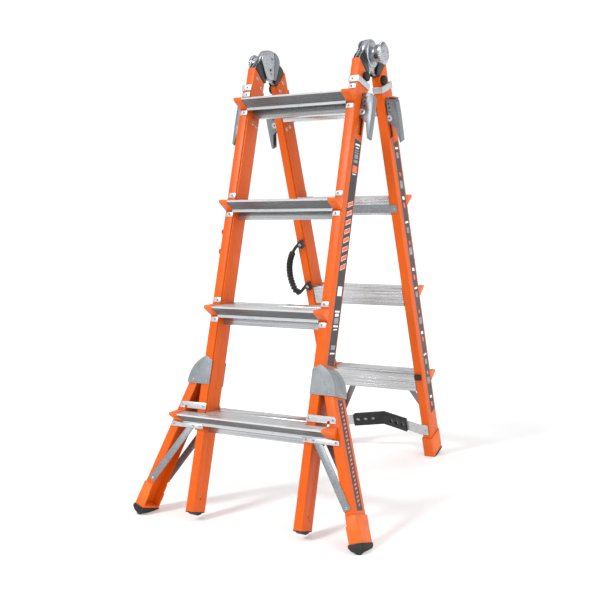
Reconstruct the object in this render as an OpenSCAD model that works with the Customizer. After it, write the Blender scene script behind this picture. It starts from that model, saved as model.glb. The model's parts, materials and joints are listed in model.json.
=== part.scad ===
// Multi-position ladder: two telescoping rail sections joined by a pair of locking hinges.
// Each section is drawn in its own frame, with x across the ladder, n outward from the plane
// through the hinge line, and t down the rails from the hinge line.

/* [Stance] */
// Lean of each section from vertical in the A-frame stance, degrees
lean = 17.5; // [12:0.5:20]
// Distance from the hinge line down the rails to the foot
foot_reach = 1351; // [1345:1:1380]
// Distance between treads, and twice the hinge line's distance to the first tread
pitch = 304.8; // [300:0.1:306]
// Treads in each section
tread_count = 4; // [4:4]

/* [Rails] */
// Width over the outer rails
frame_w = 375; // [360:1:400]
// Distance from the hinge plane to the back of the outer rails
rail_back = 13.4; // [12:0.1:16]
// Depth of the outer rails
rail_depth = 67.4; // [60:0.1:72]
// Width of an outer rail's flanges
flange_w = 26; // [24:0.5:28]
// Wall of every rail
rail_wall = 3.5; // [3:0.1:4]
// Thickness of both nested rails together, across the ladder
rail_pair = 28.9; // [28:0.1:30]
// Play between an inner rail and the outer rail round it
rail_play = 0.6; // [0.5:0.1:1]
// Top end of the outer rails
outer_top = 95; // [92:1:98]
// Bottom end of the front outer rails
outer_end = 1104; // [1102:1:1110]
// Bottom end of the inner rails
inner_end = 1325; // [1300:1:1328]

/* [Treads] */
// Distance from the hinge plane to the tread's front lip
lip_n = 121.3; // [115:0.1:125]
// Half length of the upper treads' lips
tread_half = 161; // [160:0.5:162]
// Half length of the lowest front tread's lip
wide_half = 227; // [224:0.5:230]
// Distance from the hinge plane to the back of the treads
tread_back = 58; // [57:0.5:60]
// Height of a rung under its tread
rung_h = 58; // [50:1:60]
// Wall of treads and rungs
tread_wall = 2.5; // [2:0.1:3]

/* [Flared legs] */
// Splay of each lower leg from its rail, degrees
flare = 18.9; // [18:0.1:19.5]
// Width of a leg's flanges
leg_flange = 26; // [24:0.5:28]

/* [Hinges] */
// Radius of the hinge discs
disc_r = 42; // [40:0.5:44]
// Radius of a hinge knob
knob_r = 31; // [28:0.5:33]
// Travel of a hinge knob
knob_travel = 12; // [8:0.5:12]

/* [Hidden] */
$fn = 48;

orange = [0.93, 0.34, 0.08];
satin = [0.78, 0.79, 0.80];
grey = [0.55, 0.57, 0.58];
black = [0.08, 0.08, 0.09];
chrome = [0.70, 0.71, 0.73];
red = [0.75, 0.10, 0.08];

// Rail positions: x of the faces, n of the flanges
web_x = frame_w / 2;
flange_x = web_x - flange_w;
inner_x = web_x - rail_pair;
inner_web_x = inner_x + rail_wall;
inner_out = web_x - rail_wall - 2;
cavity_out = inner_out - rail_wall;
rail_front = rail_back + rail_depth;
inner_back = rail_back + rail_wall + rail_play;
inner_front = rail_front - rail_wall - rail_play;
rail_mid = (rail_back + rail_front) / 2;
// Height of the hinge line over the floor
hinge_h = foot_reach * cos(lean) - rail_mid * sin(lean);

// Rungs and what lines up with them
rung_back = 15;
rung_front = tread_back - 4;
lock_n = (rung_back + rung_front) / 2;
lock_t = pitch / 2 + 3;
// Tip of a lock pin
pin_x = inner_out + 0.4;
plate = 2.5;
arm_reach = 150;
function step_t(i) = pitch / 2 + (i - 1) * pitch;

// ---- Frames and extrusions ----

// Places what is drawn in the front section's frame
module front() {
    translate([0, 0, hinge_h]) rotate([-lean, 0, 0]) children();
}

// Places the same drawing in the rear section
module rear() {
    mirror([0, 1, 0]) front() children();
}

module both_sides() {
    children();
    mirror([1, 0, 0]) children();
}

// Outline in x and n, extruded down the rails
module along_t(t0, t1) {
    translate([0, 0, -t0]) rotate([180, 0, 0]) linear_extrude(t1 - t0) children();
}

// Outline in n and t, extruded across the ladder
module along_x(x0, x1) {
    translate([x0, 0, 0]) rotate([-90, 0, -90]) linear_extrude(x1 - x0) children();
}

// Outline in x and t, extruded outward from the hinge plane
module along_n(n0, n1) {
    translate([0, -n1, 0]) rotate([-90, 0, 0]) linear_extrude(n1 - n0) children();
}

// Block between two corners given as x, n, t
module block(a, b) {
    translate([a[0], -b[1], -b[2]]) cube([b[0] - a[0], b[1] - a[1], b[2] - a[2]]);
}

// Rivet head on a flange, facing outward or inward
module head_n(x, t, n, way, r = 3.6) {
    translate([x, -n, -t]) rotate([way * 90, 0, 0]) cylinder(h = 1.8, r1 = r, r2 = r - 1.4);
}

// Rivet head on a web, facing away from the middle or toward it
module head_x(x, n, t, way, r = 3.6) {
    translate([x, -n, -t]) rotate([0, way * 90, 0]) cylinder(h = 1.8, r1 = r, r2 = r - 1.4);
}

// Leg frame: x outward across the leg, t down its outer edge
leg_t0 = 926;
leg_len = 418;
leg_x0 = 230 + tan(flare) * (leg_t0 - 977);
module leg_frame() {
    translate([leg_x0, 0, -leg_t0]) rotate([0, -flare, 0]) children();
}

// Everything above the floor
module above_floor() {
    difference() {
        children();
        translate([-600, -800, -200]) cube([1200, 1600, 200]);
    }
}

// ---- Rails ----

// Channel outline, open toward the middle, from its outer web face
module channel(outer, inner, back, front_n, wall) {
    difference() {
        polygon([[inner, back], [outer, back], [outer, front_n], [inner, front_n]]);
        polygon([[inner - 1, back + wall], [outer - wall, back + wall],
            [outer - wall, front_n - wall], [inner - 1, front_n - wall]]);
    }
}

// Outer rail on the right, with the slot that its lock passes through
module outer_rail(end) {
    difference() {
        along_t(outer_top, end) channel(web_x, flange_x, rail_back, rail_front, rail_wall);
        block([web_x - 10, lock_n - 11.9, 134], [web_x + 1, lock_n + 11.9, 250]);
    }
}

// Slanted top of the inner rails, sloping down toward the other section
module inner_top_cut() {
    along_x(inner_x - 1, web_x + 1)
        polygon([[inner_front + 2, 0], [inner_front + 2, 41], [inner_back - 2, 71],
            [inner_back - 2, 0]]);
}

// Inner rail on the right, a box section with a lock hole in its outer wall at each rung
module inner_rail() {
    difference() {
        along_t(38, inner_end) difference() {
            polygon([[inner_x, inner_back], [inner_out, inner_back], [inner_out, inner_front],
                [inner_x, inner_front]]);
            polygon([[inner_web_x, inner_back + rail_wall], [cavity_out, inner_back + rail_wall],
                [cavity_out, inner_front - rail_wall], [inner_web_x, inner_front - rail_wall]]);
        }
        inner_top_cut();
        for (i = [0 : tread_count - 1])
            translate([cavity_out - 1, -lock_n, -(lock_t + i * pitch)]) rotate([0, 90, 0])
                cylinder(h = rail_wall + 2, r = 7);
        translate([inner_x - 1, -rail_mid, -1290]) rotate([0, 90, 0]) cylinder(h = 30, r = 3);
    }
}

module end_cap() {
    block([inner_x - 0.2, inner_back - 0.1, inner_end], [inner_out + 0.2, inner_front + 0.1, inner_end + 3]);
    along_x(inner_x + 1, inner_out - 1) difference() {
        translate([rail_mid, inner_end - 26]) circle(r = 36);
        translate([0, inner_end - 100]) square([100, 103]);
    }
}

// Round stop just above the outer rail's top
bumper_t = outer_top - 13.9;
module bumper() {
    translate([inner_out, -lock_n, -bumper_t]) rotate([0, 90, 0]) {
        cylinder(h = 3, r = 6);
        translate([0, 0, 2.5]) cylinder(h = 8, r = 13.5);
        translate([0, 0, 10.5]) cylinder(h = 3, r1 = 13.5, r2 = 9);
    }
}

// ---- Treads and rungs ----

// Front tread section: level top, front face sloping back to the rails
module tread_outline(i) {
    difference() {
        translate([lip_n, step_t(i)]) rotate(lean) difference() {
            polygon([[0, 0], [0, 5], [-28.6, 26.6], [-26.2, 34.3], [-80, 34.3], [-80, 0]]);
            for (k = [0 : 6])
                translate([-8 - 8 * k, -1]) square([3, 2.2]);
            for (k = [1 : 4])
                translate([-5.9 * k, 5 + 4.45 * k]) rotate(37) translate([-1, -1]) square([2, 1.8]);
        }
        translate([tread_back - 60, 0]) square([60, step_t(i) + 100]);
    }
}

module tread_hollow(i) {
    difference() {
        translate([lip_n, step_t(i)]) rotate(lean)
            polygon([[-9, 4.5], [-9, 8], [-31.5, 25.2], [-30, 30.5], [-80, 30.5], [-80, 4.5]]);
        translate([tread_back + tread_wall - 70, 0]) square([70, step_t(i) + 100]);
    }
}

// One tread: its front part overhangs the rails, its deep part stands between them
module tread(i, half) {
    gap = inner_x - 1;
    difference() {
        along_x(-half, half) tread_outline(i);
        along_x(-half - 1, half + 1) tread_hollow(i);
        both_sides() block([gap, tread_back - 5, step_t(i) - 40],
            [half + 1, rail_front + 3, step_t(i) + 70]);
        if (half > web_x)
            both_sides() block([gap, tread_back, step_t(i) + 20], [half + 1, lip_n, step_t(i) + 70]);
    }
}

// Rung of the inner section, a hollow bar between its rails
module rung(i) {
    difference() {
        along_x(-inner_x, inner_x) rung_outline(i, 0);
        along_x(-inner_x - 1, inner_x + 1) rung_outline(i, tread_wall);
    }
}

module rung_outline(i, inset) {
    slope = tan(lean);
    top = step_t(i) - (lip_n - rung_front) * slope;
    drop = (rung_front - rung_back) * slope;
    long = rung_h / cos(lean);
    edge = inset / cos(lean);
    difference() {
        polygon([[rung_front - inset, top + edge - inset * slope],
            [rung_back + inset, top - drop + edge + inset * slope],
            [rung_back + inset, top - drop + long - edge + inset * slope],
            [rung_front - inset, top + long - edge - inset * slope]]);
        if (inset == 0)
            for (k = [1 : 4])
                translate([rung_back - 1, top - drop + k * 11]) square([2, 3]);
    }
}

// Wedge that carries a tread's end on the front of its rail
module bracket(i, x0, x1) {
    along_x(x0, x1) difference() {
        translate([lip_n + 1, step_t(i)]) rotate(lean)
            polygon([[0, -1.4], [0, 7], [-60, 50], [-60, -1.4]]);
        square([rail_front, step_t(i) + 200]);
    }
}

// ---- Plates, straps and rivets ----

module rivet_plate(t) {
    block([flange_x - 1, rail_front, t - 7], [web_x - 4, rail_front + 2, t + 7]);
}

// Strap round the top end of an outer rail
module strap() {
    difference() {
        block([flange_x - 3, rail_back - plate, 96], [web_x + plate, rail_front + plate, 114]);
        block([flange_x - 4, rail_back, 95], [web_x, rail_front, 115]);
    }
}

// Ear that holds a lock lever's pin
module lock_ear(n0) {
    along_n(n0, n0 + 3) difference() {
        union() {
            translate([web_x, 181]) square([8, 18]);
            translate([web_x + 8, 190]) circle(r = 9);
        }
        translate([web_x + 8, 190]) circle(r = 3.06);
        translate([web_x - 20, 170]) square([20, 40]);
    }
}

module rail_plates(count) {
    for (i = [1 : count]) {
        rivet_plate(step_t(i) - 26);
        rivet_plate(step_t(i) + 30);
    }
    strap();
    lock_ear(lock_n - 15);
    lock_ear(lock_n + 12);
}

module plate_rivets(count) {
    for (i = [1 : count], d = [-26, 30])
        head_n(flange_x + 9, step_t(i) + d, rail_front + 2, 1);
    head_n(flange_x + 10, 105, rail_front + plate, 1);
}

// ---- Lock levers ----

// Side of a lock lever, x measured from the rail's web
module lever_outline() {
    translate([web_x, 0]) difference() {
        union() {
            polygon([[4, 133], [29, 137], [35, 146], [36, 195], [35, 262], [30, 265], [22, 222],
                [6, 207], [3, 204], [3, 140]]);
            translate([8, 190]) circle(r = 5);
        }
        for (t = [148, 160, 172])
            translate([10, t]) circle(r = 2.6);
    }
}

module lock_lever() {
    low = lock_n - 11.7;
    high = lock_n + 11.7;
    along_n(low, low + plate) lever_outline();
    along_n(high - plate, high) lever_outline();
    along_n(low + plate, high - plate) translate([web_x, 0])
        polygon([[29, 137], [35, 146], [36, 195], [35, 262], [30, 265], [29.4, 262], [32.5, 255],
            [33.4, 195], [32.5, 147], [28, 139.5]]);
    along_n(low + plate, high - plate) translate([web_x, 0])
        polygon([[3, 140], [3, 170], [5.5, 170], [5.5, 140]]);
    translate([web_x + 8, -high + plate, -190]) rotate([-90, 0, 0])
        cylinder(h = high - low - 2 * plate, r = 3);
    translate([pin_x, -lock_n, -lock_t]) rotate([0, 90, 0])
        cylinder(h = web_x + 3 - pin_x, r = 5);
}

// ---- Flared legs ----

module leg_channel() {
    difference() {
        leg_frame() along_t(0, leg_len)
            channel(0, -leg_flange, rail_back, rail_front, rail_wall);
        block([100, 0, 880], [web_x + 0.3, 120, 1400]);
    }
}

// Rounded cap that joins a flared leg's top to its rail
module gusset_outline(r) {
    intersection() {
        translate([150, 972]) circle(r = r);
        polygon([[160, 907], [181, 896], [260, 880], [260, 975], [160, 975]]);
    }
}

module gusset() {
    wall = 3;
    r = 82.5;
    difference() {
        along_n(rail_back - wall, rail_front + wall) gusset_outline(r);
        along_n(rail_back, rail_front) {
            translate([150, 972]) circle(r = r - wall);
            translate([150, 971]) square([r - wall, 10]);
            translate([100, 850]) square([web_x - 99.9, 200]);
        }
        along_n(rail_back + 12, rail_front - 12) difference() {
            translate([150, 972]) circle(r = r + 1);
            translate([150, 972]) circle(r = r - 1.2);
            translate([100, 800]) square([200, 112]);
            translate([100, 966]) square([200, 112]);
        }
    }
}

// Plate across the rail and the leg above the lowest tread
module upper_link(n0) {
    along_n(n0, n0 + plate)
        difference() {
            polygon([[flange_x - 2, 1028], [240, 1028], [245, 1033], [247, 1046], [flange_x - 2, 1046]]);
            translate([226, 1043]) circle(r = 4.5);
        }
}

// Plate across the rail and the leg below the lowest tread, pocketed for the strut's end
lower_top = 1087;
link_h = 13;
module lower_link(n0, back) {
    difference() {
        along_n(n0, n0 + 2 * plate)
            polygon([[flange_x - 2, lower_top], [262, lower_top], [265, lower_top + link_h],
                [flange_x - 2, lower_top + link_h]]);
        strut(back ? n0 + plate : n0, 0.05);
    }
}

// Flat bar from the lower link plate to the leg
strut_top = [203, 1100];
strut_end = [304, 1250];
module strut(n0, grow = 0) {
    run = strut_end - strut_top;
    angle = atan2(run[1], run[0]);
    along_n(n0 - grow, n0 + plate + grow)
        translate(strut_top) rotate(angle) {
            translate([-9 - grow, -10.5 - grow]) square([norm(run) + 16 + 2 * grow, 21 + 2 * grow]);
        }
}

// Rubber foot between two x, with its lower edges rounded off past the given depth
module foot(x0, x1, t0, depth) {
    intersection() {
        block([x0, rail_back - 4, t0], [x1, rail_front + 5, t0 + 45]);
        along_x(x0 - 1, x1 + 1)
            polygon([[0, t0 - 1], [100, t0 - 1], [rail_front + 5, t0 + depth - 4],
                [rail_front - 1, t0 + depth + 6], [rail_front - 14, t0 + depth + 17], [rail_front - 14, t0 + 50],
                [rail_back + 6, t0 + 50], [rail_back - 4, t0 + 1], [0, t0]]);
        along_n(0, 100)
            polygon([[x0, t0 - 1], [x1, t0 - 1], [x1, t0 + depth - 4], [x1 - 4, t0 + depth + 4],
                [x1 - 12, t0 + depth + 10], [x1 - 12, t0 + 50], [x0 + 12, t0 + 50],
                [x0 + 12, t0 + depth + 10], [x0 + 4, t0 + depth + 4], [x0, t0 + depth - 4]]);
    }
}

// Sleeve round the bottom of a flared leg
boot_s = 352;
module leg_boot() {
    leg_frame() difference() {
        block([-leg_flange - 3, rail_back - 2.6, boot_s + 3], [3, rail_front + 2.6, leg_len + 7]);
        block([-leg_flange - 4, rail_back, boot_s], [0, rail_front, leg_len + 1]);
        block([-leg_flange - 4, rail_back - 8, boot_s], [-leg_flange, rail_front + 8, boot_s + 28]);
    }
}

module leg_foot() {
    above_floor() front() leg_frame() foot(-leg_flange - 5, 4, leg_len + 7, 12);
}

// ---- Hinges ----

// Tangent point on the disc from a corner, on the given side
function tangent(p, side) =
    let (a = atan2(p[1], p[0]) - side * acos(disc_r / norm(p)))
    [disc_r * cos(a), disc_r * sin(a)];

arm_front = [inner_front - rail_wall - 0.5, 44];
arm_back = [inner_back + rail_wall + 0.5, 68];

// Disc, neck and tang of a hinge arm in n and t
module arm_outline() {
    circle(r = disc_r, $fn = 96);
    polygon([tangent(arm_front, 1), arm_front, [arm_front[0], arm_reach],
        [arm_back[0], arm_reach], arm_back, tangent(arm_back, -1)]);
}

module tang_outline() {
    polygon([[arm_front[0], 50], [arm_front[0], arm_reach], [arm_back[0], arm_reach],
        [arm_back[0], 80]]);
}

cheek_in = inner_web_x + 0.1;
cheek = 3;
mid_in = cheek_in + cheek + 0.3;
mid_out = mid_in + 9.4;
cheek_out = mid_out + 0.3;
ring_in = cheek_out + cheek;

// Inner cover plate in world y and z from the hinge line: arched top, sides tapering to a flat base
module cover_outline() {
    polygon(concat([for (a = [0 : 6 : 180]) [48.5 * cos(a), 8 + 32 * sin(a)]],
        [[-47, 0], [-24, -45], [24, -45], [47, 0]]));
}

// Lock pin clearance through a tang
module lock_hole() {
    block([inner_web_x - 1, lock_n - 8, 134], [web_x, lock_n + 8, arm_reach + 1]);
}

// Front arm: two cheeks with a spacer, a dial ring outside and a slotted disc inside
module front_arm() {
    difference() {
        union() {
            along_x(cheek_in, cheek_in + cheek) arm_outline();
            along_x(cheek_out, cheek_out + cheek) arm_outline();
            along_x(cheek_in + cheek, cheek_out) intersection() {
                tang_outline();
                translate([0, 92]) square([100, 100]);
            }
            translate([ring_in, 0, 0]) rotate([0, 90, 0]) cylinder(h = 3, r = 37);
            translate([ring_in + 3, 0, 0]) rotate([0, 90, 0]) cylinder(h = 2, r1 = 37, r2 = 34);
            translate([inner_x - 3.4, 0, 0]) rotate([0, 90, 0])
                cylinder(h = cheek_in - inner_x + 3.4, r = 14);
            along_x(inner_x - 3.4, inner_x - 0.4) rotate(180 + lean) difference() {
                cover_outline();
                translate([6, 14]) square([9, 12], center = true);
                translate([-3, -14.5]) square([9, 12], center = true);
                translate([1, -28]) circle(r = 2.5);
            }
        }
        translate([inner_x - 0.4, 0, 0]) rotate([0, 90, 0]) cylinder(h = 60, r = 12);
        lock_hole();
    }
}

// Rear arm: one thick plate between the front arm's cheeks
module rear_arm() {
    difference() {
        union() {
            along_x(mid_in, mid_out) arm_outline();
            along_x(cheek_in, mid_in) intersection() {
                tang_outline();
                translate([0, 92]) square([100, 100]);
            }
        }
        translate([inner_x - 8, 0, 0]) rotate([0, 90, 0]) cylinder(h = 60, r = 12.05);
        lock_hole();
    }
}

// Moulded covers over both faces of an arm's neck, beside the rail's slanted end
module shield() {
    for (x = [inner_x, inner_out - 3.2])
        along_x(x, x + 3.2) difference() {
            polygon([[50, 8], [66, 26], [72, 40], [inner_back, 67.4], [8, 62], [14, 44]]);
            circle(r = disc_r + 1, $fn = 96);
        }
}

// Hollow pin through both arms, with a collar that guides the knob
module pivot_pin() {
    difference() {
        union() {
            translate([inner_x - 0.4, 0, 0]) rotate([0, 90, 0])
                cylinder(h = ring_in + 5.4 - inner_x, r = 12);
            translate([ring_in + 5, 0, 0]) rotate([0, 90, 0]) cylinder(h = 20, r = 20);
        }
        translate([inner_x + 6, 0, 0]) rotate([0, 90, 0]) cylinder(h = 60, r = 9);
    }
}

collar_end = ring_in + 25;
module hinge_spring() {
    translate([collar_end - 22, 0, 0]) rotate([0, 90, 0]) difference() {
        cylinder(h = 21, r = 8.5);
        translate([0, 0, -1]) cylinder(h = 23, r = 6.6);
    }
}

// Push knob: head, skirt over the collar, and spindle inside the pivot pin
module hinge_knob() {
    skirt = collar_end - 8;
    face = collar_end + knob_travel + 1;
    difference() {
        union() {
            translate([skirt, 0, 0]) rotate([0, 90, 0]) cylinder(h = face - skirt, r = 26);
            translate([face - 10, 0, 0]) rotate([0, 90, 0]) cylinder(h = 2, r1 = knob_r - 3, r2 = knob_r);
            translate([face - 8, 0, 0]) rotate([0, 90, 0]) cylinder(h = 8, r = knob_r);
            translate([face, 0, 0]) rotate([0, 90, 0]) cylinder(h = 3, r1 = knob_r, r2 = knob_r - 5);
        }
        translate([skirt - 1, 0, 0]) rotate([0, 90, 0]) cylinder(h = face - skirt + 0.5, r = 20.5);
    }
    translate([inner_x + 22, 0, 0]) rotate([0, 90, 0]) cylinder(h = face - inner_x - 22, r = 6);
}

// ---- Rear section fittings ----

module rear_boot() {
    difference() {
        block([inner_x - 3, rail_back - 2.6, 1270], [web_x + 2.6, rail_front + 2.6, 1340]);
        block([inner_x - 0.6, rail_back, 1269], [web_x, rail_front, 1336.4]);
        block([inner_x - 4, rail_back + 9, 1269], [inner_x, rail_front - 9, 1290]);
    }
}

module rear_foot() {
    above_floor() rear() foot(inner_x - 4.5, web_x + 4, 1340, 7);
}

// Flat bar level with the second tread, and the knee braces under the lowest one
bar_t = 452;
module cross_bar() {
    block([-web_x + 5, rail_back - plate, bar_t], [web_x - 5, rail_back, bar_t + 24]);
}

module knee_brace() {
    run = [84, 152];
    along_n(rail_front, rail_front + plate) difference() {
        translate([87.7, 1090.7]) rotate(atan2(run[1], run[0])) {
            translate([-20, -10]) square([norm(run) + 12, 20]);
            translate([norm(run) - 8, 0]) circle(r = 10);
        }
        translate([0, 1000]) square([200, 91]);
    }
}

// V-shaped bar whose middle stands back from the flanges, for leaning on a pole or corner
vee_t = 1219;
vee_h = 37;
vee_n = 49;
vee_tab = 150;
module vee_path(x0, x1, half) {
    function vee(x) = rail_back + (1 - x / vee_tab) * vee_n;
    polygon([[x0, vee(x0) - half], [x1, vee(x1) - half], [x1, vee(x1) + half], [x0, vee(x0) + half]]);
}

module vee_half() {
    along_t(vee_t, vee_t + vee_h) {
        vee_path(0, vee_tab, 1.6);
        polygon([[vee_tab, rail_back - 3], [vee_tab, rail_back + 1.6], [inner_x - 6, rail_back],
            [web_x - 6, rail_back], [web_x - 6, rail_back - 3]]);
    }
}

module sleeve_half() {
    angle = atan2(vee_n, vee_tab);
    difference() {
        along_t(vee_t - 3, vee_t + vee_h + 3) vee_path(0, 98, 8);
        along_t(vee_t, vee_t + vee_h) vee_path(-1, 99, 1.62);
        for (x = [36, 61, 86])
            translate([x, -(rail_back + (1 - x / vee_tab) * vee_n), -(vee_t + vee_h / 2)])
                rotate([0, 0, angle]) rotate([90, 0, 0]) cylinder(h = 40, r = 7, center = true);
    }
}

// Flexible carry handle: a long arc down from its upper lug, a tight bend and a straight end
handle_top = 578;
handle_low = 724;
handle_x = 178;
handle_n = 3.6;
bow_c = [-85.7, 690];
bow_r = 145.3;
bend_r = 15.2;
bend_a = 161;
bend_c = bow_c + (bow_r - bend_r) * [cos(bend_a), sin(bend_a)];

// Ring segment in the handle's plane, angles from +x toward down the rail
module handle_arc(c, r, a0, a1, thick) {
    translate([c[0], -handle_n, -c[1]]) rotate([-90, 0, 0]) rotate([0, 0, a0])
        rotate_extrude(angle = a1 - a0) translate([r, 0]) circle(r = thick, $fn = 24);
}

module handle_grip() {
    difference() {
        union() {
            handle_arc(bow_c, bow_r, bend_a, 218, 9.5);
            handle_arc(bow_c, bow_r, 218, 234, 5.5);
            handle_arc(bend_c, bend_r, 45, bend_a, 8.6);
            translate([bend_c[0] + bend_r * cos(45), -handle_n, -bend_c[1] - bend_r * sin(45)])
                rotate([0, 45, 0]) cylinder(h = 40, r = 5.5, $fn = 24);
        }
        block([-handle_x, -20, 540], [0, 40, 780]);
    }
}

module handle_mount(t) {
    along_n(handle_n - 8, rail_back)
        polygon([[-handle_x, t - 9], [-handle_x + 17, t - 14], [-handle_x + 17, t + 14],
            [-handle_x, t + 9]]);
}

module clip() {
    block([162, rail_back - 9, 1030], [184, rail_back, 1048]);
}

// ---- Nodes ----

module front_outer_rail_left() { color(orange) front() mirror([1, 0, 0]) outer_rail(outer_end); }
module front_outer_rail_right() { color(orange) front() outer_rail(outer_end); }
module flared_leg_left() { color(orange) front() mirror([1, 0, 0]) leg_channel(); }
module flared_leg_right() { color(orange) front() leg_channel(); }
module leg_gussets() { color(grey) front() both_sides() gusset(); }
module front_step_1() { color(satin) front() tread(1, tread_half); }
module front_step_2() { color(satin) front() tread(2, tread_half); }
module front_step_3() { color(satin) front() tread(3, tread_half); }
module front_step_4() { color(satin) front() tread(4, wide_half); }

module front_step_brackets() {
    color(orange) front() both_sides() {
        for (i = [1 : 3]) bracket(i, tread_half, web_x);
        bracket(4, wide_half, wide_half + 26);
    }
}

module leg_link_plates() {
    color(satin) front() both_sides() {
        upper_link(rail_front);
        upper_link(rail_back - plate);
        lower_link(rail_front, false);
        lower_link(rail_back - 2 * plate, true);
    }
}

module leg_struts() {
    color(grey) front() both_sides() {
        strut(rail_front);
        strut(rail_back - plate);
    }
}

module flared_leg_boots() { color(orange) front() both_sides() leg_boot(); }

module flared_leg_feet() {
    color(black) {
        leg_foot();
        mirror([1, 0, 0]) leg_foot();
    }
}

module front_rail_plates() { color(satin) front() both_sides() rail_plates(3); }

module front_outer_rivets() {
    color(satin) front() both_sides() {
        plate_rivets(3);
        for (p = [[167, 1037], [238, 1037], [168, 1094], [190, 1094], [256, 1094]])
            head_n(p[0], p[1], rail_front + (p[1] > 1090 ? 2 * plate : plate), 1);
        for (p = [[172, 914], [203, 944], [170, 966], [214, 966]])
            head_n(p[0], p[1], rail_front + 3, 1);
        head_n(strut_end[0], strut_end[1], rail_front + plate, 1);
    }
}

// Pair of red stowage knobs on the left rail
module storage_knobs() {
    color(red) front()
        for (t = [532, 590])
            translate([-web_x, -rail_mid - 6, -t]) rotate([0, -90, 0]) {
                cylinder(h = 10, r = 6);
                translate([0, 0, 10]) cylinder(h = 9, r1 = 9, r2 = 8);
            }
}

module front_inner_rail_left() { color(orange) front() mirror([1, 0, 0]) inner_rail(); }
module front_inner_rail_right() { color(orange) front() inner_rail(); }
module front_rungs() { color(satin) front() for (i = [1 : tread_count]) rung(i); }
module front_end_caps() { color(black) front() both_sides() end_cap(); }
module front_bumpers() { color(black) front() both_sides() bumper(); }
module front_hinge_arm_left() { color(chrome) front() mirror([1, 0, 0]) front_arm(); }
module front_hinge_arm_right() { color(chrome) front() front_arm(); }
module front_hinge_shields() { color(black) front() both_sides() shield(); }
module hinge_pivot_pins() { color(chrome) front() both_sides() pivot_pin(); }
module hinge_springs() { color(grey) front() both_sides() hinge_spring(); }

// Rivets on the inside of a section's inner rails
module inner_rivets() {
    both_sides() {
        head_x(inner_x, 56, 68, -1, 6);
        head_x(inner_x, 30, 88, -1, 6);
        head_x(inner_x, 48, 203, -1, 6);
        head_x(inner_x, 28, 205, -1, 6);
    }
}

module front_inner_rivets() { color(satin) front() inner_rivets(); }
module rear_inner_rail_left() { color(orange) rear() mirror([1, 0, 0]) inner_rail(); }
module rear_inner_rail_right() { color(orange) rear() inner_rail(); }
module rear_rungs() { color(satin) rear() for (i = [1 : tread_count]) rung(i); }
module rear_end_caps() { color(black) rear() both_sides() end_cap(); }
module rear_bumpers() { color(black) rear() both_sides() bumper(); }
module rear_hinge_arm_left() { color(chrome) rear() mirror([1, 0, 0]) rear_arm(); }
module rear_hinge_arm_right() { color(chrome) rear() rear_arm(); }
module rear_hinge_shields() { color(black) rear() both_sides() shield(); }
module rear_inner_rivets() { color(satin) rear() inner_rivets(); }
module rear_outer_rail_left() { color(orange) rear() mirror([1, 0, 0]) outer_rail(1334); }
module rear_outer_rail_right() { color(orange) rear() outer_rail(1334); }
module rear_step_1() { color(satin) rear() tread(1, tread_half); }
module rear_step_2() { color(satin) rear() tread(2, tread_half); }
module rear_step_3() { color(satin) rear() tread(3, tread_half); }
module rear_step_4() { color(satin) rear() tread(4, tread_half); }

module rear_step_brackets() {
    color(orange) rear() both_sides()
        for (i = [1 : tread_count]) bracket(i, tread_half, web_x);
}

module rear_rail_plates() { color(satin) rear() both_sides() rail_plates(4); }

module rear_outer_rivets() {
    color(satin) rear() both_sides() {
        plate_rivets(4);
        head_n(flange_x + 12, bar_t + 12, rail_back - plate, -1);
        head_n(flange_x + 12, vee_t + vee_h / 2, rail_back - 3, -1);
    }
}

module rear_braces() {
    color(satin) rear() {
        cross_bar();
        both_sides() knee_brace();
    }
}

module v_bar() { color(satin) rear() both_sides() vee_half(); }
module v_bar_sleeve() { color(black) rear() both_sides() sleeve_half(); }
module carry_handle() { color(black) rear() handle_grip(); }

module handle_mounts() {
    color(black) rear() {
        handle_mount(handle_top);
        handle_mount(handle_low);
    }
}

module rear_boots() { color(orange) rear() both_sides() rear_boot(); }

module rear_feet() {
    color(black) {
        rear_foot();
        mirror([1, 0, 0]) rear_foot();
    }
}

module rail_clip() { color(black) rear() clip(); }
module lock_lever_front_left() { color(satin) front() mirror([1, 0, 0]) lock_lever(); }
module lock_lever_front_right() { color(satin) front() lock_lever(); }
module lock_lever_rear_left() { color(satin) rear() mirror([1, 0, 0]) lock_lever(); }
module lock_lever_rear_right() { color(satin) rear() lock_lever(); }
module hinge_knob_left() { color(chrome) front() mirror([1, 0, 0]) hinge_knob(); }
module hinge_knob_right() { color(chrome) front() hinge_knob(); }

front_outer_rail_left();
front_outer_rail_right();
flared_leg_left();
flared_leg_right();
leg_gussets();
front_step_1();
front_step_2();
front_step_3();
front_step_4();
front_step_brackets();
leg_link_plates();
leg_struts();
flared_leg_boots();
flared_leg_feet();
front_rail_plates();
front_outer_rivets();
storage_knobs();
front_inner_rail_left();
front_inner_rail_right();
front_rungs();
front_end_caps();
front_bumpers();
front_hinge_arm_left();
front_hinge_arm_right();
front_hinge_shields();
hinge_pivot_pins();
hinge_springs();
front_inner_rivets();
rear_inner_rail_left();
rear_inner_rail_right();
rear_rungs();
rear_end_caps();
rear_bumpers();
rear_hinge_arm_left();
rear_hinge_arm_right();
rear_hinge_shields();
rear_inner_rivets();
rear_outer_rail_left();
rear_outer_rail_right();
rear_step_1();
rear_step_2();
rear_step_3();
rear_step_4();
rear_step_brackets();
rear_rail_plates();
rear_outer_rivets();
rear_braces();
v_bar();
v_bar_sleeve();
carry_handle();
handle_mounts();
rear_boots();
rear_feet();
rail_clip();
lock_lever_front_left();
lock_lever_front_right();
lock_lever_rear_left();
lock_lever_rear_right();
hinge_knob_left();
hinge_knob_right();
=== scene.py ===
"""Looks of the multi-position ladder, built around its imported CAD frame. Lengths are in millimetres
in the sections' own frames and in metres once a piece is placed."""
import json
import math

import bmesh
import bpy
from mathutils import Matrix, Vector

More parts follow.
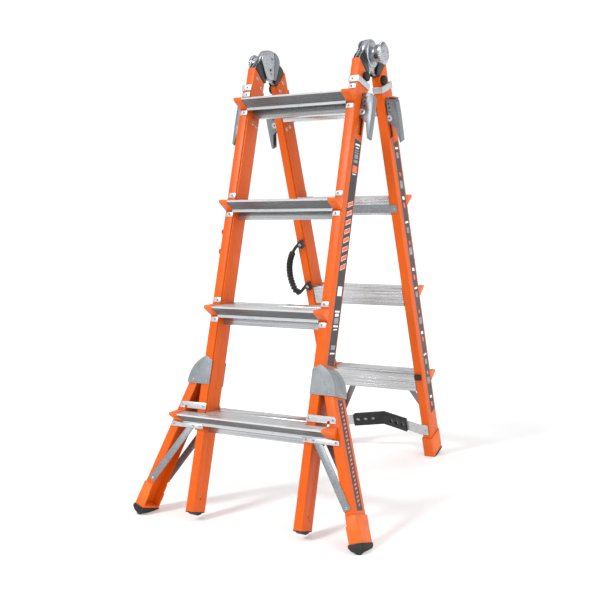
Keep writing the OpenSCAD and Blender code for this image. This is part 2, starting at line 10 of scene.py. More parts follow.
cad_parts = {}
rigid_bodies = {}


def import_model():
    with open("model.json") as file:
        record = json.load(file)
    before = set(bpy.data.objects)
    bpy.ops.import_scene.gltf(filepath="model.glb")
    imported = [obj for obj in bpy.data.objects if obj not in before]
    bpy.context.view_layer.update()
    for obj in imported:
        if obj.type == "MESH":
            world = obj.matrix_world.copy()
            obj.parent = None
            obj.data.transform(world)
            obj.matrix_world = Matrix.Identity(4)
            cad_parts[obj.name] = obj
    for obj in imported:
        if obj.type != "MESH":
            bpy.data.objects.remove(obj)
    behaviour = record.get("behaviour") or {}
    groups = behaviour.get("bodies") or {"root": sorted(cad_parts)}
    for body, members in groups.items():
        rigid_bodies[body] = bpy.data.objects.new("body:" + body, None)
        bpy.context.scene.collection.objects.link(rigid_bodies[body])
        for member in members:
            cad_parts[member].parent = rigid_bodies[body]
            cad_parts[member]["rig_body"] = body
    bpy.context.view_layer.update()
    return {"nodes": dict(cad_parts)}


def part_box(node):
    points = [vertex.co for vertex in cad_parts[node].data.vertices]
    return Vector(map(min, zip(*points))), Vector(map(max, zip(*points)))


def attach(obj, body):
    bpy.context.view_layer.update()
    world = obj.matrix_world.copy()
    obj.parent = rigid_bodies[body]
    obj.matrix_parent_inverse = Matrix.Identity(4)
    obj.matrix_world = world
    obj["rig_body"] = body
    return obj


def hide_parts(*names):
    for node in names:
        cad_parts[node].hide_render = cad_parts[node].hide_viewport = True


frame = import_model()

MM = 0.001
NODES = frame["nodes"]

# ---- The two sections' frames: x across, n outward from the hinge plane, t down the rails ----

LEAN = math.radians(17.5)
pin_low, pin_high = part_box("hinge_pivot_pins")
HINGE_H = (pin_low.z + pin_high.z) / 2
SECTION = {}
for section, way in (("front", -1), ("rear", 1)):
    SECTION[section] = Matrix((
        (MM, 0, 0, 0),
        (0, way * math.cos(LEAN) * MM, way * math.sin(LEAN) * MM, 0),
        (0, math.sin(LEAN) * MM, -math.cos(LEAN) * MM, HINGE_H),
        (0, 0, 0, 1),
    ))

# A pair of rails, outer and inner, fills the width between these
WEB_X = 187.5
INNER_X = 158.6

# A flared leg's frame inside the front section's: x across the leg, t down its outer edge
FLARE = math.radians(18.9)
LEG_T0 = 926
LEG = Matrix((
    (math.cos(FLARE), 0, math.sin(FLARE), 230 + math.tan(FLARE) * (LEG_T0 - 977)),
    (0, 1, 0, 0),
    (-math.sin(FLARE), 0, math.cos(FLARE), LEG_T0),
    (0, 0, 0, 1),
))


# ---- Materials ----


class Graph:
    """Short calls for one material's node tree, all of it in the piece's own coordinates."""

    def __init__(self, name, turn=0.0):
        self.mat = bpy.data.materials.new(name)
        self.mat.use_nodes = True
        self.tree = self.mat.node_tree
        self.shader = self.tree.nodes["Principled BSDF"]
        coords = self.tree.nodes.new("ShaderNodeTexCoord")
        self.place = self.tree.nodes.new("ShaderNodeMapping")
        self.place.inputs["Rotation"].default_value = (turn, 0, 0)
        self.tree.links.new(coords.outputs["Object"], self.place.inputs["Vector"])

    def feed(self, socket, value):
        if isinstance(value, bpy.types.NodeSocket):
            self.tree.links.new(value, socket)
        else:
            socket.default_value = value

    def noise(self, scale, detail=4.0, stretch=(1, 1, 1), rough=0.55):
        node = self.tree.nodes.new("ShaderNodeTexNoise")
        spread = self.tree.nodes.new("ShaderNodeVectorMath")
        spread.operation = "MULTIPLY"
        spread.inputs[1].default_value = stretch
        self.tree.links.new(self.place.outputs[0], spread.inputs[0])
        self.tree.links.new(spread.outputs[0], node.inputs["Vector"])
        node.inputs["Scale"].default_value = scale
        node.inputs["Detail"].default_value = detail
        node.inputs["Roughness"].default_value = rough
        return node.outputs["Fac"]

    def cells(self, scale):
        node = self.tree.nodes.new("ShaderNodeTexVoronoi")
        self.tree.links.new(self.place.outputs[0], node.inputs["Vector"])
        node.inputs["Scale"].default_value = scale
        return node.outputs["Distance"]

    def ramp(self, value, low, high, out_low=0.0, out_high=1.0):
        node = self.tree.nodes.new("ShaderNodeMapRange")
        self.feed(node.inputs["Value"], value)
        for name, number in (("From Min", low), ("From Max", high), ("To Min", out_low),
                             ("To Max", out_high)):
            node.inputs[name].default_value = number
        return node.outputs["Result"]

    def maths(self, kind, a, b):
        node = self.tree.nodes.new("ShaderNodeMath")
        node.operation = kind
        self.feed(node.inputs[0], a)
        self.feed(node.inputs[1], b)
        return node.outputs[0]

    def mix(self, share, a, b, kind="MIX"):
        node = self.tree.nodes.new("ShaderNodeMix")
        node.data_type = "RGBA"
        node.blend_type = kind
        self.feed(node.inputs[0], share)
        self.feed(node.inputs[6], a)
        self.feed(node.inputs[7], b)
        return node.outputs[2]

    def bump(self, height, distance, strength=1.0, under=None):
        node = self.tree.nodes.new("ShaderNodeBump")
        node.inputs["Distance"].default_value = distance
        node.inputs["Strength"].default_value = strength
        self.tree.links.new(height, node.inputs["Height"])
        if under is not None:
            self.tree.links.new(under, node.inputs["Normal"])
        return node.outputs["Normal"]

    def edges(self, radius, low=0.02, high=0.25):
        """1 along sharp edges and 0 on flat faces."""
        bevel = self.tree.nodes.new("ShaderNodeBevel")
        bevel.samples = 6
        bevel.inputs["Radius"].default_value = radius
        facing = self.tree.nodes.new("ShaderNodeNewGeometry")
        dot = self.tree.nodes.new("ShaderNodeVectorMath")
        dot.operation = "DOT_PRODUCT"
        self.tree.links.new(bevel.outputs[0], dot.inputs[0])
        self.tree.links.new(facing.outputs["True Normal"], dot.inputs[1])
        return self.ramp(self.maths("SUBTRACT", 1.0, dot.outputs["Value"]), low, high)


def colour(r, g, b):
    """Linear colour from the 0 to 255 values of a display."""
    return tuple(((v / 255 + 0.055) / 1.055) ** 2.4 if v > 10 else v / 255 / 12.92
                 for v in (r, g, b)) + (1.0,)


def finish_material(g, base, rough, normal, metallic=0.0, **sockets):
    g.feed(g.shader.inputs["Base Color"], base)
    g.feed(g.shader.inputs["Roughness"], rough)
    g.feed(g.shader.inputs["Normal"], normal)
    g.shader.inputs["Metallic"].default_value = metallic
    for name, value in sockets.items():
        g.shader.inputs[name.replace("_", " ")].default_value = value
    return g.mat


def make_fibreglass(name, turn):
    """Pultruded glass fibre: fine strands along the rail, faint mat pattern, edges lightened partly as
    rubbed wear and partly as a painted highlight.
    """
    g = Graph(name, turn)
    strands = g.noise(1.0, 3, (900, 900, 14))
    mat_cells = g.noise(140, 5)
    patches = g.noise(9, 3)
    tone = g.mix(g.ramp(strands, 0.35, 0.65), colour(198, 76, 6), colour(214, 92, 10))
    tone = g.mix(g.ramp(patches, 0.3, 0.7, 0.0, 0.35), tone, colour(220, 100, 12))
    tone = g.mix(g.ramp(mat_cells, 0.35, 0.75, 0.0, 0.22), tone, colour(188, 66, 6))
    scuffs = g.noise(1.0, 6, (60, 60, 7), 0.7)
    tone = g.mix(g.ramp(scuffs, 0.68, 0.80, 0.0, 0.1), tone, colour(236, 150, 96))
    # Lighter edges: partly rubbed wear, partly a painted edge highlight
    tone = g.mix(g.maths("MULTIPLY", g.edges(0.0018), 0.3), tone, colour(240, 140, 72))
    rough = g.maths("ADD", g.ramp(patches, 0.3, 0.7, 0.30, 0.40),
                    g.ramp(mat_cells, 0.3, 0.7, 0, 0.08))
    lines = g.bump(strands, 0.00012, 0.5)
    return finish_material(g, tone, rough, g.bump(mat_cells, 0.0003, 0.35, lines),
                           Coat_Weight=0.03, Coat_Roughness=0.25, Specular_IOR_Level=0.2)


def make_moulded(name, dark, light, rough, grain, depth, rubbed_and_lit_edge=None, rubbed_and_lit_share=0.3):
    """Moulded plastic, paint or rubber: slight mottling, a fine skin texture, edges lightened partly as
    rubbed wear and partly as a painted highlight.
    """
    g = Graph(name)
    patches = g.noise(22, 4)
    skin = g.noise(grain, 4, rough=0.6)
    tone = g.mix(g.ramp(patches, 0.3, 0.7), dark, light)
    tone = g.mix(g.ramp(skin, 0.55, 0.8, 0.0, 0.25), tone, light)
    # Lighter edges: partly rubbed wear, partly a painted edge highlight
    if rubbed_and_lit_edge:
        tone = g.mix(g.maths("MULTIPLY", g.edges(0.0016), rubbed_and_lit_share), tone, rubbed_and_lit_edge)
    sheen = g.ramp(g.noise(60, 3), 0.3, 0.7, rough - 0.06, rough + 0.08)
    return finish_material(g, tone, sheen, g.bump(skin, depth, 0.6), Specular_IOR_Level=0.35)


def make_metal(name, dark, light, rough, stretch, grain_depth, metallic=1.0, spangle=0.0):
    """Bare or plated metal: grain drawn out by stretch, stains, and a spangle on castings."""
    g = Graph(name)
    grain = g.noise(1.0, 4, stretch)
    stains = g.noise(16, 5)
    tone = g.mix(g.ramp(grain, 0.3, 0.7), dark, light)
    tone = g.mix(g.ramp(stains, 0.5, 0.8, 0.0, 0.35), tone, dark)
    if spangle:
        tone = g.mix(g.ramp(g.cells(spangle), 0.0, 0.8, 0.0, 0.5), tone, light)
    finish = g.maths("ADD", g.ramp(stains, 0.3, 0.7, rough - 0.05, rough + 0.07),
                     g.ramp(grain, 0.3, 0.7, -0.04, 0.06))
    return finish_material(g, tone, finish, g.bump(grain, grain_depth, 0.5), metallic)


FINISH = {
    "fibreglass_front": make_fibreglass("fibreglass_front", -LEAN),
    "fibreglass_rear": make_fibreglass("fibreglass_rear", LEAN),
    "orange_plastic": make_moulded("orange_plastic", colour(208, 84, 10), colour(224, 102, 18), 0.42,
                                   420, 0.0002, colour(240, 146, 84)),
    "cast_grey": make_moulded("cast_grey", colour(112, 117, 121), colour(138, 143, 147), 0.42,
                              260, 0.0006, colour(196, 199, 201), 0.6),
    "tread_aluminium": make_metal("tread_aluminium", colour(186, 188, 190), colour(216, 218, 220), 0.3,
                                  (4, 700, 700), 0.00005, 0.7),
    # A darker copy of the tread aluminium for the treads' downward faces: painted shade
    "tread_painted_shade": make_metal("tread_painted_shade", colour(88, 90, 92), colour(124, 126, 128), 0.34,
                              (6, 900, 900), 0.00008, 0.6),
    "rung_aluminium": make_metal("rung_aluminium", colour(156, 158, 160), colour(206, 208, 210), 0.22,
                                 (3, 300, 300), 0.00005, 0.8),
    "plated_steel": make_metal("plated_steel", colour(168, 172, 175), colour(204, 207, 209), 0.36,
                               (300, 300, 300), 0.00005, 0.6),
    "brace_steel": make_metal("brace_steel", colour(112, 117, 120), colour(142, 147, 150), 0.4,
                              (220, 220, 220), 0.00008, 0.55),
    "rivet_steel": make_metal("rivet_steel", colour(150, 155, 165), colour(205, 208, 214), 0.3,
                              (500, 500, 500), 0.00005),
    "hinge_steel": make_metal("hinge_steel", colour(128, 131, 136), colour(196, 199, 203), 0.36,
                              (260, 260, 260), 0.00012, 1.0, 170),
    "knob_chrome": make_metal("knob_chrome", colour(140, 143, 148), colour(205, 208, 212), 0.22,
                              (30, 400, 400), 0.00003),
    "lever_aluminium": make_metal("lever_aluminium", colour(106, 112, 116), colour(140, 146, 150), 0.4,
                                  (420, 420, 420), 0.00018, 0.7),
    "black_rubber": make_moulded("black_rubber", colour(20, 21, 23), colour(46, 47, 49), 0.7,
                                 500, 0.0003, colour(92, 92, 92), 0.5),
    "black_plastic": make_moulded("black_plastic", colour(18, 19, 21), colour(38, 39, 42), 0.4,
                                  650, 0.00015, colour(84, 85, 88), 0.35),
    "red_plastic": make_moulded("red_plastic", colour(176, 22, 20), colour(214, 40, 34), 0.35,
                                500, 0.0001, colour(240, 110, 90)),
    "decal_black": make_moulded("decal_black", colour(24, 24, 26), colour(38, 38, 41), 0.3, 300, 0.00004),
    "decal_white": make_moulded("decal_white", colour(226, 226, 224), colour(243, 243, 241), 0.3, 300,
                                0.00004),
    "decal_grey": make_moulded("decal_grey", colour(112, 114, 120), colour(146, 148, 154), 0.3, 300,
                               0.00004),
    "decal_orange": make_moulded("decal_orange", colour(232, 84, 30), colour(246, 104, 40), 0.3, 300,
                                 0.00004),
}

# ---- Meshes ----

SHARP = math.radians(32)
# A knob's skirt ends here, and is drawn this much shorter so that a full push doesn't touch the ring
SKIRT_END = 195.2
SKIRT_GAP = 0.6
# A tread's faces that look down more than this take the darker finish, a painted shade copy of the tread
# aluminium
UNDERSIDE = -0.3


def place(name, mesh, body, finish, slot=None, replaces=(), matrix=None):
    """Puts a finished bmesh into the scene as one piece of the object."""
    if matrix is not None:
        bmesh.ops.transform(mesh, matrix=matrix, verts=mesh.verts)
    bmesh.ops.recalc_face_normals(mesh, faces=mesh.faces)
    data = bpy.data.meshes.new(name)
    mesh.to_mesh(data)
    mesh.free()
    data.shade_smooth()
    data.set_sharp_from_angle(angle=SHARP)
    piece = bpy.data.objects.new(name, data)
    bpy.context.scene.collection.objects.link(piece)
    finishes = [finish] if isinstance(finish, str) else finish
    for item in finishes:
        data.materials.append(FINISH[item])
    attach(piece, body)
    if replaces:
        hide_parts(*replaces)
    return piece


def round_edges(mesh, radius, segments=2, angle=SHARP):
    """Rounds every edge that is sharper than angle."""
    sharp = [e for e in mesh.edges
             if len(e.link_faces) == 2 and e.calc_face_angle(0) > angle]
    bmesh.ops.bevel(mesh, geom=sharp, offset=radius, offset_type="OFFSET", segments=segments,
                    profile=0.5, affect="EDGES", clamp_overlap=True)


def clean_copy(node):
    """A clean copy of a CAD node's mesh, with its flat faces made whole."""
    mesh = bmesh.new()
    mesh.from_mesh(NODES[node].data)
    bmesh.ops.remove_doubles(mesh, verts=mesh.verts, dist=2e-6)
    bmesh.ops.dissolve_limit(mesh, angle_limit=math.radians(0.6), verts=mesh.verts, edges=mesh.edges)
    for face in mesh.faces:
        face.material_index = 0
    return mesh


def soften(node, radius, finish, slot, segments=2):
    """The node's own shape with its edges rounded; treads take a darker second finish on their undersides,
    painted as shade.
    """
    mesh = clean_copy(node)
    round_edges(mesh, radius * MM, segments)
    # Downward faces of a tread take the darker copy: painted shade
    if slot == "tread_aluminium" and "_step_" in node:
        finish = [finish, "tread_painted_shade"]
        mesh.normal_update()
        for face in mesh.faces:
            face.material_index = int(face.normal.z < UNDERSIDE)
    if slot == "knob_chrome":
        for vert in mesh.verts:
            if abs(abs(vert.co.x) - SKIRT_END * MM) < 0.2 * MM:
                vert.co.x += math.copysign(SKIRT_GAP * MM, vert.co.x)
    return place(node + "_finished", mesh, NODES[node]["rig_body"], finish, slot, (node,))


def lathe(mesh, profile, origin, axis, dark_inside=0.0, count=20):
    """Adds a turned shape from (distance along axis, radius) points; dark_inside marks a small radius
    for the second finish, which in the rivet heads is painted shade in their sunk middle."""
    axis = Vector(axis).normalized()
    side = axis.orthogonal().normalized()
    other = axis.cross(side)
    rings = []
    for along, radius in profile:
        centre = Vector(origin) + axis * along
        if radius < 1e-9:
            rings.append([mesh.verts.new(centre)])
            continue
        rings.append([mesh.verts.new(centre + (side * math.cos(k * math.tau / count)
                                               + other * math.sin(k * math.tau / count)) * radius)
                      for k in range(count)])
    for (low, high), (near, far) in zip(zip(rings, rings[1:]), zip(profile, profile[1:])):
        dark = int(max(near[1], far[1]) < dark_inside)
        for k in range(count):
            corners = [low[k % len(low)], low[(k + 1) % len(low)],
                       high[(k + 1) % len(high)], high[k % len(high)]]
            corners = list(dict.fromkeys(corners))
            if len(corners) > 2:
                mesh.faces.new(corners).material_index = dark
    if len(rings[0]) > 1:
        mesh.faces.new(rings[0]).material_index = 0


def islands(mesh):
    """Lists of vertices, one for each loose part of a mesh."""
    left = set(mesh.verts)
    while left:
        group, edge = set(), [left.pop()]
        while edge:
            vert = edge.pop()
            group.add(vert)
            for link in vert.link_edges:
                near = link.other_vert(vert)
                if near in left:
                    left.discard(near)
                    edge.append(near)
        yield list(group)


def turned_rivets(node, section):
    """Domed heads with a sunk middle painted dark as shade, one where each head of the node stands."""
    source = clean_copy(node)
    bmesh.ops.transform(source, matrix=SECTION[section].inverted(), verts=source.verts)
    heads = bmesh.new()
    for group in list(islands(source)):
        spots = [vert.co for vert in group]
        low = Vector([min(spot[k] for spot in spots) for k in range(3)])
        high = Vector([max(spot[k] for spot in spots) for k in range(3)])
        size = high - low
        k = min(range(3), key=lambda i: size[i])
        middle = (low + high) / 2
        wide = max(size)
        wide_end = [spot[k] for spot in spots
                    if (spot - middle).length > math.hypot(wide / 2, size[k] / 2) * 0.97]
        base = min(wide_end, key=lambda v: abs(v - middle[k])) if wide_end else low[k]
        way = 1 if base < middle[k] else -1
        axis = Vector([way if i == k else 0 for i in range(3)])
        origin = middle.copy()
        origin[k] = base
        r = wide / 2
        profile = [(0, r), (0.5, r), (1.1, r * 0.9), (1.6, r * 0.66), (1.8, r * 0.48), (1.7, r * 0.4),
                   (0.9, r * 0.34), (0.8, 0)]
        lathe(heads, profile, origin, axis, r * 0.42)
    source.free()
    # The second finish, black, fills each head's sunk middle as painted shade
    place(node + "_finished", heads, NODES[node]["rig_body"], ["rivet_steel", "black_plastic"],
          "rivet_steel", (node,), SECTION[section])


def stroke(low_n, high_n, low_t, high_t, slant=0.0):
    """Outline of a mark in n and t, its far edge carried down the rail by slant."""
    return [(low_n, low_t), (high_n, low_t + slant), (high_n, high_t + slant), (low_n, high_t)]


def decal(name, body, matrix, face_x, way, marks):
    """Thin printed strip on a face of constant x: (finish, thickness, outline) marks."""
    mesh = bmesh.new()
    finishes = list(dict.fromkeys(mark[0] for mark in marks))
    for finish, thickness, outline in marks:
        low = [mesh.verts.new((face_x, n, t)) for n, t in outline]
        top = [mesh.verts.new((face_x + way * thickness, n, t)) for n, t in outline]
        count = len(outline)
        sides = [mesh.faces.new((low[k], low[(k + 1) % count], top[(k + 1) % count], top[k]))
                 for k in range(count)]
        for face in sides + [mesh.faces.new(low), mesh.faces.new(top)]:
            face.material_index = finishes.index(finish)
    place(name, mesh, body, finishes, None, (), matrix)


# Part of a node's name, edge radius in mm and material slot; the first row that matches counts
SOFTENED = [
    ("step_brackets", 1.2, "orange_plastic"),
    ("outer_rail", 1.3, "fibreglass"),
    ("inner_rail", 1.2, "fibreglass"),
    ("flared_leg_left", 1.3, "fibreglass"),
    ("flared_leg_right", 1.3, "fibreglass"),
    ("leg_gussets", 1.2, "cast_grey"),
    ("_step_", 0.35, "tread_aluminium"),
    ("rungs", 0.5, "tread_aluminium"),
    ("leg_link_plates", 0.5, "plated_steel"),
    ("leg_struts", 0.5, "brace_steel"),
    ("boots", 1.0, "orange_plastic"),
    ("feet", 3.2, "black_rubber"),
    ("rail_plates", 0.5, "plated_steel"),
    ("storage_knobs", 1.0, "red_plastic"),
    ("end_caps", 1.2, "black_plastic"),
    ("bumpers", 1.0, "black_rubber"),
    ("hinge_arm", 0.5, "hinge_steel"),
    ("hinge_shields", 0.9, "black_plastic"),
    ("pivot_pins", 0.5, "hinge_steel"),
    ("springs", 0.3, "rivet_steel"),
    ("braces", 0.5, "brace_steel"),
    ("v_bar_sleeve", 1.2, "black_plastic"),
    ("v_bar", 0.5, "plated_steel"),
    ("handle_mounts", 1.2, "black_plastic"),
    ("rail_clip", 1.2, "black_plastic"),
    ("lock_lever", 0.6, "lever_aluminium"),
    ("hinge_knob", 0.9, "knob_chrome"),
]
SEGMENTS = {"fibreglass": 3, "black_rubber": 3}


def settings_of(node):
    for part, radius, slot in SOFTENED:
        if part in node:
            return radius, slot
    raise KeyError(node)


for section in ("front", "rear"):
    turned_rivets(section + "_outer_rivets", section)
    turned_rivets(section + "_inner_rivets", section)

# ---- Carry handle: ribbed grip on the CAD node's own path, with a plain strap at each end ----

BOW_C, BOW_R = (-85.7, 690.0), 145.3
BEND_R, BEND_A = 15.2, math.radians(161)
BEND_C = (BOW_C[0] + (BOW_R - BEND_R) * math.cos(BEND_A),
          BOW_C[1] + (BOW_R - BEND_R) * math.sin(BEND_A))
HANDLE_N = 3.6
BOW_START, STRAIGHT = math.radians(230.6), math.radians(45)
HANDLE_SIDES = 20
GRIP_START, GRIP_END, GRIP_FADE = 0.16, 0.86, 0.02
RIB_PITCH = 10.5
LUG_T = (578, 724)


def arc(centre, radius, start, stop, step):
    count = max(2, round(abs(stop - start) * radius / step))
    for k in range(count + 1):
        a = start + (stop - start) * k / count
        yield centre[0] + radius * math.cos(a), centre[1] + radius * math.sin(a)


path = list(arc(BOW_C, BOW_R, BOW_START, BEND_A, 1.0))
path += list(arc(BEND_C, BEND_R, BEND_A, STRAIGHT, 1.0))[1:]
last = path[-1]
path += [(last[0] + 0.7071 * k, last[1] - 0.7071 * k) for k in range(1, 28)]
mesh = bmesh.new()
rings = []
reach = 0.0
for k, (x, t) in enumerate(path):
    ahead = path[min(k + 1, len(path) - 1)]
    behind = path[max(k - 1, 0)]
    run = Vector((ahead[0] - behind[0], 0, ahead[1] - behind[1])).normalized()
    across = Vector((0, 1, 0)).cross(run)
    reach += (Vector(path[k]) - Vector(path[max(k - 1, 0)])).length
    share = k / (len(path) - 1)
    grip = (min(1, max(0, (share - GRIP_START) / GRIP_FADE))
            * min(1, max(0, (GRIP_END - share) / GRIP_FADE)))
    rib = grip * (1.3 if math.sin(reach * math.tau / RIB_PITCH) > -0.3 else -1.7)
    wide = 5.2 + 4.0 * grip + rib
    flat = 6.2 + 3.0 * grip + rib
    angles = [j * math.tau / HANDLE_SIDES for j in range(HANDLE_SIDES)]
    rings.append([mesh.verts.new(Vector((x, HANDLE_N, t)) + across * wide * math.cos(a)
                                 + Vector((0, 1, 0)) * flat * math.sin(a)) for a in angles])
for low, high in zip(rings, rings[1:]):
    for j in range(HANDLE_SIDES):
        m = (j + 1) % HANDLE_SIDES
        mesh.faces.new((low[j], low[m], high[m], high[j]))
mesh.faces.new(rings[0])
mesh.faces.new(rings[-1])
place("carry_handle_finished", mesh, NODES["carry_handle"]["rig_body"], "black_plastic", "black_plastic",
      ("carry_handle",), SECTION["rear"])
mesh = bmesh.new()
for t in LUG_T:
    lathe(mesh, [(0, 4.6), (0.6, 4.6), (1.6, 3.4), (1.9, 1.8), (1.2, 1.5), (1.2, 0)], (-168.5, -4.4, t),
          (0, -1, 0), 1.9)
# The second finish, black, fills each head's sunk middle as painted shade
place("handle_rivets", mesh, NODES["handle_mounts"]["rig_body"], ["rivet_steel", "black_plastic"],
      "rivet_steel", (), SECTION["rear"])

# ---- Raised ribs across both faces of the V-bar's sleeve ----

RAIL_BACK = 13.4                # the rails' face nearest the hinge plane
VEE_REACH, VEE_DEPTH = 150, 49  # the bar's slope, from a rail to its bend
SLEEVE_HALF = 8                 # half the sleeve's thickness
SLEEVE_T = (1216.6, 1258.4)
SLEEVE_RIBS = (3, 9, 15, 21, 27, 48.5, 73.5, 96)
RIB_SECTION = ((-1.1, -0.5), (-0.7, 0.9), (0.7, 0.9), (1.1, -0.5))
mesh = bmesh.new()
for way in (-1, 1):
    for x in SLEEVE_RIBS:
        for face in (-1, 1):
            corners = []
            for t in SLEEVE_T:
                for near, proud in RIB_SECTION:
                    n = (RAIL_BACK + (1 - (x + near) / VEE_REACH) * VEE_DEPTH
                         + face * (SLEEVE_HALF + proud))
                    corners.append(mesh.verts.new((way * (x + near), n, t)))
            for k in range(4):
                m = (k + 1) % 4
                mesh.faces.new((corners[k], corners[m], corners[m + 4], corners[k + 4]))
            mesh.faces.new(corners[:4])
            mesh.faces.new(corners[4:])
place("v_bar_sleeve_ribs", mesh, NODES["v_bar_sleeve"]["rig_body"], "black_plastic", "black_plastic",
      (), SECTION["rear"])

# ---- Hinge faces ----

KNURLS = 40
KNURL_R = 31
COVER_RIM = [(48.2 * math.cos(math.radians(d)), 8 + 31.7 * math.sin(math.radians(d)))
             for d in range(0, 64, 6)]
COVER = COVER_RIM + [(19.5, 34.5), (24, 12), (19, -8), (15.5, -30), (20, -44.5), (24, -44.5),
                     (46.5, -0.5)]
for side, way in (("left", -1), ("right", 1)):
    low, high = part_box("hinge_knob_" + side)
    tip = high.x if way > 0 else low.x
    hub = Vector((tip / MM, 0, HINGE_H / MM))
    mesh = bmesh.new()
    lathe(mesh, [(-0.3, 20.5), (0.5, 20), (0.5, 17.5), (-0.3, 17)], hub, (way, 0, 0), 0, 48)
    lathe(mesh, [(-0.3, 10.5), (0.7, 10), (0.9, 4.5), (0.2, 4), (0.2, 0)], hub, (way, 0, 0), 0, 48)
    for k in range(KNURLS):
        a = k * math.tau / KNURLS
        spot = Vector((hub.x - way * 9.6, KNURL_R * math.cos(a), hub.z + KNURL_R * math.sin(a)))
        lathe(mesh, [(0, 0.9), (6.2, 0.9), (6.6, 0)], spot, (way, 0, 0), 0, 6)
    place("knob_face_" + side, mesh, NODES["hinge_knob_" + side]["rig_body"], "knob_chrome", "knob_chrome",
          (), Matrix.Scale(MM, 4))
    mesh = bmesh.new()
    plate_x = way * (INNER_X - 3.4)
    low = [mesh.verts.new((plate_x, y, z + HINGE_H / MM)) for y, z in COVER]
    top = [mesh.verts.new((plate_x - way * 1.3, y, z + HINGE_H / MM)) for y, z in COVER]
    for k in range(len(COVER)):
        m = (k + 1) % len(COVER)
        mesh.faces.new((low[k], low[m], top[m], top[k]))
    mesh.faces.new(low)
    mesh.faces.new(top)
    place("hinge_cover_layer_" + side, mesh, NODES["front_hinge_arm_" + side]["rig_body"],
          "lever_aluminium", "hinge_steel", (), Matrix.Scale(MM, 4))

# ---- Printed strips, all plain generic marks ----

INK = 0.12  # thickness of one printed layer
# Marks down the front strip: colour, and where each starts and ends down the rail
FRONT_MARKS = (
    ("white", 276, 281), ("white", 286, 289), ("grey", 294, 297), ("grey", 300, 303),
    ("grey", 306, 318), ("grey", 322, 330), ("orange", 338, 358), ("white", 361, 364),
    ("white", 676, 702), ("white", 742, 747), ("white", 750, 758), ("grey", 762, 778),
    ("white", 782, 787), ("white", 792, 795), ("grey", 836, 848), ("white", 856, 860))
REAR_COLOURS = ("white", "grey", "orange", "grey", "white", "orange")
REAR_LENGTHS = (6, 16, 10, 24, 12, 18)
REAR_INSETS = (6, 9, 12)
REAR_GAPS = (10, 26, 14, 44)
REAR_LOW, REAR_HIGH = 41, 74
for side, way in (("left", -1), ("right", 1)):
    low_n, high_n = (17, 56) if way > 0 else (17, 42)
    wide = high_n - low_n
    marks = [("decal_black", INK, stroke(low_n, high_n, 268, 894))]
    for k, (finish, a, b) in enumerate(FRONT_MARKS):
        inset = (0.16, 0.24, 0.2)[k % 3] * wide
        marks.append(("decal_" + finish, 2 * INK, stroke(low_n + inset, high_n - inset, a, b, 4)))
    for k in range(8):
        t = 436 + 25 * k
        marks.append(("decal_white", 2 * INK, stroke(low_n + 6, high_n - 5, t, t + 13, 14)))
        marks.append(("decal_orange", 3 * INK, stroke(low_n + 7, high_n - 6, t + 1.2, t + 11.8, 13.6)))
    body = NODES["front_outer_rail_" + side]["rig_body"]
    decal("front_strip_" + side, body, SECTION["front"], way * WEB_X, way, marks)

    marks = [("decal_black", INK, stroke(REAR_LOW, REAR_HIGH, 270, 1188))]
    t = 284
    k = 0
    while t < 1160:
        long = REAR_LENGTHS[(k * 5) % 6]
        inset = REAR_INSETS[k % 3]
        marks.append(("decal_" + REAR_COLOURS[k % 6], 2 * INK,
                      stroke(REAR_LOW + inset, REAR_HIGH - inset, t, t + long, 5)))
        t += long + REAR_GAPS[(k * 3) % 4]
        k += 1
    body = NODES["rear_outer_rail_" + side]["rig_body"]
    decal("rear_strip_" + side, body, SECTION["rear"], way * WEB_X, way, marks)

    marks = [("decal_black", INK, stroke(27, 60, 58, 345))]
    for k in range(26):
        t = 66 + 10.4 * k
        marks.append(("decal_orange", 2 * INK, stroke(37, 50 - 4 * (k % 3 == 1), t, t + 5.2, 4)))
    mirror = Matrix.Diagonal((way, 1, 1, 1))
    decal("leg_strip_" + side, NODES["flared_leg_" + side]["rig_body"],
          SECTION["front"] @ mirror @ LEG, 0, 1, marks)

# Nodes already replaced above; every other one is softened here
OWN_MESH = {"front_outer_rivets", "rear_outer_rivets", "front_inner_rivets", "rear_inner_rivets",
            "carry_handle"}
for node in sorted(NODES):
    if node in OWN_MESH:
        continue
    radius, slot = settings_of(node)
    finish = "rung_aluminium" if node.endswith("rungs") else slot
    if slot == "fibreglass":
        finish = "fibreglass_rear" if node.startswith("rear") else "fibreglass_front"
    soften(node, radius, finish, slot, SEGMENTS.get(slot, 2))

# ---- Floor, light and camera ----

FLOOR_HALF = 60.0
FLOOR_GLOW = 0.14  # keeps the shadow on the white floor as faint as the photo's
HORIZON, OVERHEAD = (0.22, 1.05), (0.5, 0.4)  # sine of elevation and the world's strength there

floor_mesh = bmesh.new()
bmesh.ops.create_grid(floor_mesh, x_segments=1, y_segments=1, size=FLOOR_HALF)
floor_data = bpy.data.meshes.new("floor")
floor_mesh.to_mesh(floor_data)
floor_mesh.free()
floor = bpy.data.objects.new("floor", floor_data)
bpy.context.scene.collection.objects.link(floor)
paper = Graph("floor_paper")
floor_data.materials.append(finish_material(
    paper, paper.mix(paper.noise(3, 2), (0.89, 0.89, 0.89, 1), (0.91, 0.91, 0.91, 1)), 0.9,
    paper.bump(paper.noise(900, 2), 0.0001, 0.1),
    Emission_Color=(1, 1, 1, 1), Emission_Strength=FLOOR_GLOW))

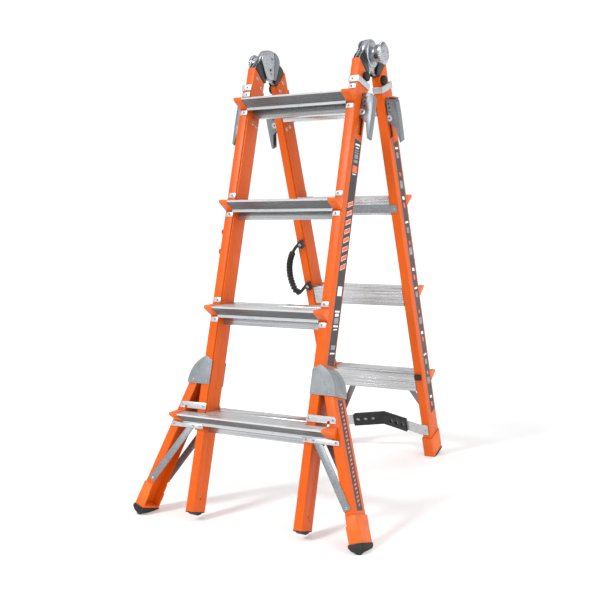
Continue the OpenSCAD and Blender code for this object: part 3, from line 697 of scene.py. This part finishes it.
world = bpy.data.worlds.new("studio")
bpy.context.scene.world = world
world.use_nodes = True
sky = world.node_tree.nodes["Background"]
sky.inputs["Color"].default_value = (1.0, 1.0, 1.0, 1)
heading = world.node_tree.nodes.new("ShaderNodeTexCoord")
parts = world.node_tree.nodes.new("ShaderNodeSeparateXYZ")
fade = world.node_tree.nodes.new("ShaderNodeMapRange")
for name, number in (("From Min", HORIZON[0]), ("From Max", OVERHEAD[0]),
                     ("To Min", HORIZON[1]), ("To Max", OVERHEAD[1])):
    fade.inputs[name].default_value = number
world.node_tree.links.new(heading.outputs["Generated"], parts.inputs[0])
world.node_tree.links.new(parts.outputs["Z"], fade.inputs["Value"])
world.node_tree.links.new(fade.outputs["Result"], sky.inputs["Strength"])


def studio_light(name, spot, strength, spread):
    """Broad, even light from the direction of spot; spread in degrees softens its shadows."""
    data = bpy.data.lights.new(name, "SUN")
    data.energy = strength
    data.angle = math.radians(spread)
    lamp = bpy.data.objects.new(name, data)
    bpy.context.scene.collection.objects.link(lamp)
    lamp.location = spot
    lamp.rotation_mode = "QUATERNION"
    lamp.rotation_quaternion = (-Vector(spot)).to_track_quat("-Z", "Y")


studio_light("key", (-1.5, -3.2, 3.0), 1.95, 14)
studio_light("fill", (3.4, -1.0, 1.5), 1.25, 50)
studio_light("overhead", (0.4, 0.3, 4.0), 0.8, 70)

# The photograph's viewpoint: turned and tipped round an aim point, and slightly rolled
VIEW_TURN = math.radians(29.85)
VIEW_TIP = math.radians(6.68)
VIEW_ROLL = math.radians(-1.38)
VIEW_DISTANCE = 2.8353
VIEW_AIM = Vector((-0.0322, -0.0753, 0.5707))

back = Vector((math.sin(VIEW_TURN) * math.cos(VIEW_TIP), -math.cos(VIEW_TURN) * math.cos(VIEW_TIP),
               math.sin(VIEW_TIP)))
right = (-back).cross(Vector((0, 0, 1))).normalized()
up = right.cross(-back).normalized()
rolled_right = right * math.cos(VIEW_ROLL) + up * math.sin(VIEW_ROLL)
rolled_up = up * math.cos(VIEW_ROLL) - right * math.sin(VIEW_ROLL)
camera_data = bpy.data.cameras.new("camera")
camera_data.lens = 57.6
camera_data.sensor_width = 36
camera_data.shift_y = 0.003
camera = bpy.data.objects.new("camera", camera_data)
bpy.context.scene.collection.objects.link(camera)
camera.matrix_world = Matrix.Translation(VIEW_AIM + back * VIEW_DISTANCE) @ Matrix(
    (rolled_right, rolled_up, back)).transposed().to_4x4()
bpy.context.scene.camera = camera
bpy.context.scene.view_settings.view_transform = "Standard"
